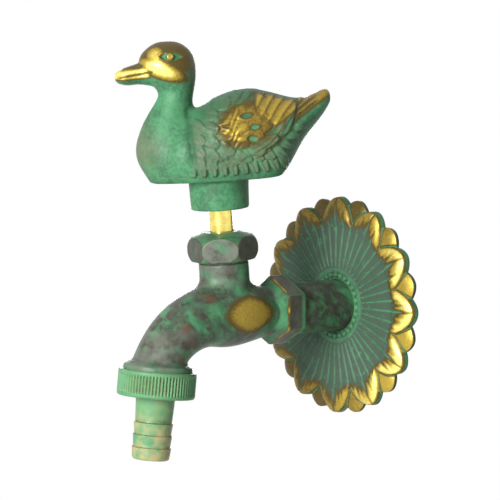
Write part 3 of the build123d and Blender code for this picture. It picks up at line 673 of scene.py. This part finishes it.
class GARDENTAP_OT_rosette(bpy.types.Operator):
    """Makes the wall rosette with its beads, flutes and two rows of petals"""

    bl_idname = "garden_tap.rosette"
    bl_label = "Wall rosette"

    def execute(self, context):
        sizes = context.scene.garden_tap_sizes
        paint = context.scene.garden_tap_colours
        face = [(radius, BLANK_LEVEL) for radius in np.linspace(BORE_RADIUS, PETAL_TIP, 112)]
        side = [(PETAL_TIP, 4.0), (PETAL_TIP, 2.0), (PETAL_TIP, 0.0)]
        back = [(38.0, 0.0), (FIELD_END, 0.0), (29.0, 0.0), (29.0, 1.6), (FIELD_START, 1.2),
                (FIELD_START, 0.0), (BORE_RADIUS, 0.0)]
        shape = turned(face + side + back, np.zeros(3), np.array((0.0, -1.0, 0.0)), sizes.flute_count * 12)
        finish = gilt_patina("gilt patinated embossed brass", paint, paint.strip, thin_from=0.2,
                             thin_to=0.43)
        plate = make_piece("rosette_plate", shape, "rosette", finish, ["wall_rosette"])
        carve_rosette(plate.data, sizes)
        beads = bmesh.new()
        for place in range(sizes.bead_count):
            turn = 2 * pi * place / sizes.bead_count
            spot = Vector((BEAD_ROW * sin(turn), -3.05, BEAD_ROW * cos(turn))) * MM
            bmesh.ops.create_uvsphere(beads, u_segments=20, v_segments=12, radius=sizes.bead_radius,
                                      matrix=Matrix.Translation(spot))
        ring = make_piece("rosette_beads", beads, "rosette", finish, [])
        places, normals = read_points(ring.data)
        keep_layers(ring.data, gild=0.16 * step(0.5, 0.95, -normals[:, 1]), wear=np.full(len(places), 0.15))
        return {"FINISHED"}


# Body, in millimetres: the plain shank's radius, the rubbed oval on the globe (middle and half lengths along
# y and z), and the rust spots on its near side (least x, then y, z and half width).
SHANK_RADIUS = 10.475
GLOBE_OVAL = ((-58.6, 0.4), (12.6, 7.4))
RUST_SPOTS = [
    (3.5, -88.4, -3.4, 1.6),
    (3.5, -85.6, -9.6, 1.4),
    (2.0, -75.8, 7.2, 1.7),
    (3.0, -90.2, -15.0, 1.5),
]


class GARDENTAP_OT_body(bpy.types.Operator):
    """Casts the tap's body with its marbled patina, and cuts the inlet thread"""

    bl_idname = "garden_tap.body"
    bl_label = "Tap body"

    def execute(self, context):
        sizes = context.scene.garden_tap_sizes
        paint = context.scene.garden_tap_colours
        finish = finish_of("marbled patinated cast brass", marbled_patina, paint)
        shape = cast_copy("tap_body", skin_mm=0.48, passes=2)
        body = make_piece("body_casting", shape, "tap", finish, ["tap_body"])
        places, normals = read_points(body.data)
        self.trim_shank(places)
        write_points(body.data, places)
        self.mark_patina(body.data, places, normals)
        self.cut_thread(sizes, finish)
        return {"FINISHED"}

    def trim_shank(self, places):
        """Runs the plain shank on into the rosette, and turns down the thread's root under its ridge."""
        along = places[:, 1]
        from_axis = np.hypot(places[:, 0], places[:, 2])
        filled = (along > -2.4) & (along < 0.5) & (from_axis > 8.8)
        scale = np.where(filled, SHANK_RADIUS / np.maximum(from_axis, 1), 1)
        from_axis = from_axis * scale
        cut = step(0.6, 1.4, along) * (from_axis > 8.5) * 1.05
        scale *= 1 - cut / np.maximum(from_axis, 1)
        places[:, 0] *= scale
        places[:, 2] *= scale

    def mark_patina(self, mesh, places, normals):
        """Marks the dark flats, the green wash, the gilding, the pewter sheen that is partly painted
        highlight and partly rubbed metal, and the rust spots.
        """
        x, y, z = places.T
        from_axis = np.hypot(x, z)
        # Hexagon collar on the shank: dark flats in a green wash, and a gilt rim in front
        collar = step(-43.4, -42.8, y) * step(-29.4, -30.0, y) * (from_axis > 9)
        turns = np.radians(range(0, 360, 60))
        facing = np.max([normals @ np.array((cos(turn), 0, sin(turn))) for turn in turns], axis=0)
        on_flat = step(0.93, 0.98, facing) * step(-31.9, -33.0, y)
        rim = line(y + 38.9, 0.65) * (from_axis > 11.5)
        rim *= 0.6 + 0.25 * np.sin(z * 0.7 + 0.8) + 0.15 * np.sin(z * 1.7)
        (middle_y, middle_z), (half_y, half_z) = GLOBE_OVAL
        oval = np.abs((y - middle_y) / half_y) ** 1.5 + np.abs((z - middle_z) / half_z) ** 1.8
        rubbed = step(1.5, 0.4, oval) * (np.abs(x) > 5)
        # Lip at the spout's mouth, over the union
        offset = places - OUTLET_FACE
        along = offset @ OUTLET_DOWN
        from_outlet = np.linalg.norm(offset - along[:, None] * OUTLET_DOWN, axis=1)
        lip = step(-2.6, -1.6, along) * step(12.2, 13.0, from_outlet) * (y < -75)
        # Painted sheen, partly rubbed metal: pewter grey on the spout and the neck where they face the
        # front, and on everything that looks up
        spout = step(-78, -90, y) * step(-1, -6, z) * step(-0.2, 0.5, normals @ np.array((0.2, -0.9, 0.1)))
        neck = step(9, 13, z) * step(0.1, 0.7, normals @ np.array((0.6, -0.8, 0.0)))
        top = step(0.2, 0.9, normals[:, 2])
        spots = [line(np.hypot(y - reach, z - level), half) * (x > near)
                 for near, reach, level, half in RUST_SPOTS]
        keep_layers(mesh, dark=0.9 * on_flat * collar, spot=np.maximum.reduce(spots),
                    green=np.maximum(0.85 * collar * (1 - on_flat), 0.9 * lip),
                    gild=np.maximum.reduce([0.66 * rubbed, 0.85 * rim, 0.12 * lip * (along < 0)]),
                    wear=np.maximum.reduce([0.62 * spout, 0.5 * neck, 0.25 * top]))

    def cut_thread(self, sizes, finish):
        """The inlet's helical ridge, one vee section spun forward a pitch each turn."""
        pitch = sizes.thread_pitch
        root, crest = 9.3 * MM, 10.45 * MM
        turns = 6
        steps = 72
        start = 1.6 * MM
        section = [(root, start), (crest, start + 0.42 * pitch), (crest, start + 0.58 * pitch),
                   (root, start + pitch)]
        shape = bmesh.new()
        corners = [shape.verts.new((radius, along, 0)) for radius, along in section]
        rim = [shape.edges.new((a, b)) for a, b in zip(corners, corners[1:] + corners[:1])]
        bmesh.ops.spin(shape, geom=corners + rim, cent=(0, 0, 0), axis=(0, 1, 0), dvec=(0, pitch / steps, 0),
                       angle=2 * pi * turns, steps=steps * turns, use_merge=False)
        bmesh.ops.remove_doubles(shape, verts=shape.verts, dist=0.001 * MM)
        bmesh.ops.holes_fill(shape, edges=shape.edges, sides=4)
        bmesh.ops.recalc_face_normals(shape, faces=shape.faces)
        ridge = make_piece("inlet_thread", shape, "tap", finish, [])
        for polygon in ridge.data.polygons:
            polygon.use_smooth = False


# Bonnet, in millimetres from the spindle's axis: its flats, and its bore with the friction washer.
BONNET_FLAT = 12.0
BONNET_BORE = 6.6


class GARDENTAP_OT_bonnet(bpy.types.Operator):
    """Casts the bonnet, with oval flats on its domed hexagon, alternately a pewter sheen that is partly
    painted highlight and partly rubbed, and dark umber
    """

    bl_idname = "garden_tap.bonnet"
    bl_label = "Bonnet"

    def execute(self, context):
        paint = context.scene.garden_tap_colours
        finish = finish_of("marbled patinated cast brass", marbled_patina, paint)
        shape = cast_copy("bonnet", skin_mm=0.25, passes=2)
        bonnet = make_piece("bonnet_casting", shape, "tap", finish, ["bonnet"])
        places, normals = read_points(bonnet.data)
        offset = places - SPINDLE_FOOT
        height = offset @ SPINDLE_UP
        # The bore keeps its sharp corner, so that the friction washer has room at the top of its lift.
        radius = np.linalg.norm(offset - height[:, None] * SPINDLE_UP, axis=1)
        in_bore = (radius < BONNET_BORE) & (height < 24.8)
        write_points(bonnet.data, places - 0.2 * normals * in_bore[:, None])
        reach = np.array([offset @ (ACROSS * cos(radians(turn)) + SPINDLE_BACK * sin(radians(turn)))
                          for turn in range(16, 376, 60)])
        flat = step(BONNET_FLAT - 0.22, BONNET_FLAT - 0.07, reach.max(0))
        edge = step(BONNET_FLAT - 0.38, BONNET_FLAT - 0.2, reach.max(0)) * (1 - flat)
        # Alternate flats, the one that faces the front among them, take a pewter sheen that is partly
        # painted highlight; the others are dark umber.
        bare = np.isin(reach.argmax(0), (1, 3, 5))
        shown = step(21.0, 21.6, height)
        keep_layers(bonnet.data, gild=0.42 * edge * shown, green=0.75 * (1 - flat) * shown,
                    wear=0.85 * flat * shown * bare, dark=0.85 * flat * shown * ~bare)
        return {"FINISHED"}


# Hose union, in millimetres: the nut's outside, thread and bore, the tail's bore, and its barbs.
NUT_RADIUS = 14.85
NUT_THREAD = 13.25
NUT_BORE = 7.75
TAIL_BORE = 5.2
BARB_START = 19.7
BARB_STEP = 4.7
BARB_COUNT = 3


class GARDENTAP_OT_union(bpy.types.Operator):
    """Turns the ribbed union nut and the barbed hose tail"""

    bl_idname = "garden_tap.union"
    bl_label = "Hose union"

    def execute(self, context):
        sizes = context.scene.garden_tap_sizes
        paint = context.scene.garden_tap_colours
        finish = finish_of("mint washed turned brass", union_patina, paint)
        profile = [(NUT_THREAD, 0.0), (14.2, 0.0), (14.55, 0.12), (NUT_RADIUS - 0.05, 0.5),
                   (NUT_RADIUS, 0.9), (NUT_RADIUS, 1.3)]
        profile += [(NUT_RADIUS, along) for along in np.linspace(1.7, 8.3, 10)]
        profile += [(NUT_RADIUS, 8.7), (NUT_RADIUS, 9.2), (NUT_RADIUS - 0.15, 9.6), (14.4, 9.9),
                    (14.0, 10.0), (NUT_BORE, 10.0), (NUT_BORE, 8.6), (NUT_THREAD, 8.6)]
        shape = turned(profile, OUTLET_FACE, OUTLET_DOWN, sizes.rib_count * 8)
        nut = make_piece("union_ring", shape, "union", finish, ["union_nut"])
        places, _ = read_points(nut.data)
        offset = places - OUTLET_FACE
        along = offset @ OUTLET_DOWN
        flat = offset - along[:, None] * OUTLET_DOWN
        radius = np.linalg.norm(flat, axis=1)
        turn = np.arctan2(flat @ np.cross(OUTLET_DOWN, ACROSS), flat @ ACROSS)
        wave = 0.5 - 0.5 * np.cos(turn * sizes.rib_count)
        groove = step(0.3, 0.75, wave) * (radius > NUT_RADIUS - 0.15)
        groove *= step(1.4, 1.8, along) * step(8.6, 8.2, along)
        write_points(nut.data, places - flat / radius[:, None] * groove[:, None] * sizes.rib_depth / MM)
        keep_layers(nut.data, gild=0.3 * groove, wear=0.12 * (1 - groove))
        self.turn_tail(finish)
        return {"FINISHED"}

    def turn_tail(self, finish):
        """The tail: a plain neck and barbs with rounded crests."""
        profile = [(TAIL_BORE, 7.0), (12.95, 7.0), (12.95, 8.5), (7.45, 8.5), (7.45, 10.0), (7.4, 12.0),
                   (7.2, 16.0), (7.0, 19.4), (7.05, 19.65)]
        for barb in range(BARB_COUNT):
            top = BARB_START + barb * BARB_STEP
            profile += [(7.36, top), (7.45, top + 0.12), (7.45, top + 0.35), (7.34, top + 1.4),
                        (7.15, top + 3.3), (7.03, top + 4.35)]
        profile[-1] = (7.0, 33.2)
        profile += [(6.75, 33.6), (6.35, 33.8), (TAIL_BORE, 33.8)]
        shape = turned(profile, OUTLET_FACE, OUTLET_DOWN, 128)
        tail = make_piece("hose_barbs", shape, "tail", finish, ["hose_tail"])
        places, _ = read_points(tail.data)
        along = (places - OUTLET_FACE) @ OUTLET_DOWN
        crests = np.max([line(along - BARB_START + 0.1 - BARB_STEP * barb, 0.3)
                         for barb in range(BARB_COUNT)], axis=0)
        keep_layers(tail.data, gild=0.3 * crests, wear=0.35 + 0.6 * step(18.5, 20.5, along))


class GARDENTAP_OT_inner(bpy.types.Operator):
    """Finishes the spindle and the small parts that keep their CAD shape"""

    bl_idname = "garden_tap.inner"
    bl_label = "Spindle and inner parts"

    def execute(self, context):
        paint = context.scene.garden_tap_colours
        brass = finish_of("polished turned brass", polished_brass, paint)
        finishes = {
            "spindle": brass,
            "jumper_valve": brass,
            "washer_nut": brass,
            "bonnet_gasket": inner_finish("pressed green fibre", paint.fibre, grain_mm=0.8, spread=0.6,
                                          roughness=0.75),
            "friction_washer": inner_finish("moulded white nylon", paint.nylon, grain_mm=2.0, spread=0.85,
                                            roughness=0.45),
            "handle_screw": inner_finish("turned steel", paint.steel, grain_mm=1.5, spread=0.75,
                                         roughness=0.35, metallic=1.0),
        }
        rubber = inner_finish("moulded black rubber", paint.rubber, grain_mm=1.2, spread=0.6, roughness=0.6)
        for node in ("spindle_seal_lower", "spindle_seal_upper", "valve_washer", "union_washer"):
            finishes[node] = rubber
        for node, finish in finishes.items():
            part = frame["nodes"][node]
            if not part.material_slots:
                part.data.materials.append(finish)
            for place in part.material_slots:
                place.material = finish
        return {"FINISHED"}


class GARDENTAP_OT_stage(bpy.types.Operator):
    """Sets up the floor, the soft studio light and the camera"""

    bl_idname = "garden_tap.stage"
    bl_label = "Studio"

    def execute(self, context):
        scene = context.scene
        scene.view_settings.view_transform = "Standard"
        right, up, back = self.place_camera(scene)
        self.lay_floor(scene)
        front_left = back * 0.84 - right * 0.5 + up * 0.16
        front_right = back * 0.5 + right * 0.75 + up * 0.1
        self.hang_lamp(scene, "key softbox", front_left, distance=0.95, size=0.42, power=13.8)
        self.hang_lamp(scene, "fill softbox", front_right, distance=1.1, size=0.6, power=0.25)
        self.hang_lamp(scene, "top softbox", up, distance=0.9, size=0.6, power=0.35)
        self.hang_lamp(scene, "back softbox", up * 0.1 - back, distance=1.0, size=0.4, power=6.5)
        self.light_world(scene)
        return {"FINISHED"}

    def place_camera(self, scene):
        """The camera of the photograph: a long lens, a little above the spout, seen from the tap's right."""
        azimuth, elevation, roll = radians(49.5), radians(4.0), radians(0.5)
        level = Vector((cos(azimuth), sin(azimuth), 0))
        back = Vector((sin(azimuth) * cos(elevation), -cos(azimuth) * cos(elevation), sin(elevation)))
        rise = back.cross(level)
        right = level * cos(roll) + rise * sin(roll)
        up = rise * cos(roll) - level * sin(roll)
        # Where the globe's middle shows, in pixels of a picture this wide, and the lens in the same pixels
        picture, focal = 500, 2000.0
        seen_across, seen_down = 227.1, 313.4
        globe = Vector((0, -60.7 * MM, 0))
        distance = 0.777
        pixel = distance / focal
        place = globe - right * (seen_across - picture / 2) * pixel + up * (seen_down - picture / 2) * pixel
        place += back * distance
        lens = bpy.data.cameras.new("camera")
        lens.sensor_width = 36.0
        lens.lens = lens.sensor_width * focal / picture
        lens.clip_start = 0.01
        camera = bpy.data.objects.new("camera", lens)
        turn = Matrix((right, up, back)).transposed().to_4x4()
        camera.matrix_world = Matrix.Translation(place) @ turn
        scene.collection.objects.link(camera)
        scene.camera = camera
        return right, up, back

    def lay_floor(self, scene):
        """A round pale floor well under the tap, which hangs on its wall."""
        paint = scene.garden_tap_colours
        shape = bmesh.new()
        middle = Matrix.Translation((0, -0.05, -0.16))
        bmesh.ops.create_circle(shape, cap_ends=True, segments=96, radius=0.42, matrix=middle)
        mesh = bpy.data.meshes.new("studio_floor")
        shape.to_mesh(mesh)
        shape.free()
        finish = inner_finish("matt painted floor", paint.floor, grain_mm=60.0, spread=0.985, roughness=0.8)
        tree = finish.node_tree
        glow = add_node(tree, "Math", {0: self.seen_rays(tree), 1: 0.45}, operation="MULTIPLY")
        shader = tree.nodes["Principled BSDF"]
        shader.inputs["Emission Color"].default_value = (1, 1, 1, 1)
        tree.links.new(glow.outputs["Value"], shader.inputs["Emission Strength"])
        mesh.materials.append(finish)
        floor = bpy.data.objects.new("studio_floor", mesh)
        scene.collection.objects.link(floor)

    def hang_lamp(self, scene, name, towards, distance, size, power):
        """A square softbox that looks at the middle of the tap."""
        lamp = bpy.data.lights.new(name, "AREA")
        lamp.size = size
        lamp.energy = power
        holder = bpy.data.objects.new(name, lamp)
        middle = Vector((0, -0.06, 0.02))
        heading = Vector(towards).normalized()
        holder.location = middle + heading * distance
        holder.rotation_mode = "QUATERNION"
        holder.rotation_quaternion = heading.to_track_quat("Z", "Y")
        scene.collection.objects.link(holder)

    def seen_rays(self, tree):
        """1 for what is seen, also in a reflection or through glass, and 0 for the light that it gives."""
        path = add_node(tree, "LightPath").outputs
        seen = add_node(tree, "Math", {0: path["Is Camera Ray"], 1: path["Is Glossy Ray"]},
                        operation="MAXIMUM")
        return add_node(tree, "Math", {0: seen, 1: path["Is Transmission Ray"]}, operation="MAXIMUM")

    def light_world(self, scene):
        """White to the camera and in reflections, and a low even light on everything else."""
        world = bpy.data.worlds.new("studio")
        world.use_nodes = True
        tree = world.node_tree
        tree.nodes.clear()
        level = add_node(tree, "MapRange", {"Value": self.seen_rays(tree), "To Min": 0.05, "To Max": 1.0})
        glow = add_node(tree, "Background", {"Color": (1, 1, 1), "Strength": level})
        add_node(tree, "OutputWorld", {"Surface": glow})
        scene.world = world


class GARDENTAP_PT_panel(bpy.types.Panel):
    """Lists the tap's pieces in the sidebar"""

    bl_idname = "GARDENTAP_PT_panel"
    bl_label = "Garden tap"
    bl_space_type = "VIEW_3D"
    bl_region_type = "UI"
    bl_category = "Garden tap"

    def draw(self, context):
        for operator in OPERATORS:
            self.layout.operator(operator.bl_idname)
        for group in (context.scene.garden_tap_sizes, context.scene.garden_tap_colours):
            for name in group.bl_rna.properties.keys():
                if name not in ("rna_type", "name"):
                    self.layout.prop(group, name)


OPERATORS = (GARDENTAP_OT_body, GARDENTAP_OT_bonnet, GARDENTAP_OT_duck, GARDENTAP_OT_rosette,
             GARDENTAP_OT_union, GARDENTAP_OT_inner, GARDENTAP_OT_stage)
CLASSES = (GardenTapSizes, GardenTapColours, *OPERATORS, GARDENTAP_PT_panel)


def register():
    for entry in CLASSES:
        bpy.utils.register_class(entry)
    bpy.types.Scene.garden_tap_sizes = PointerProperty(type=GardenTapSizes)
    bpy.types.Scene.garden_tap_colours = PointerProperty(type=GardenTapColours)


def unregister():
    del bpy.types.Scene.garden_tap_colours
    del bpy.types.Scene.garden_tap_sizes
    for entry in reversed(CLASSES):
        bpy.utils.unregister_class(entry)


def main():
    register()
    bpy.ops.garden_tap.body()
    bpy.ops.garden_tap.bonnet()
    bpy.ops.garden_tap.duck()
    bpy.ops.garden_tap.rosette()
    bpy.ops.garden_tap.union()
    bpy.ops.garden_tap.inner()
    bpy.ops.garden_tap.stage()
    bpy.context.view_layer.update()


if __name__ == "__main__":
    main()
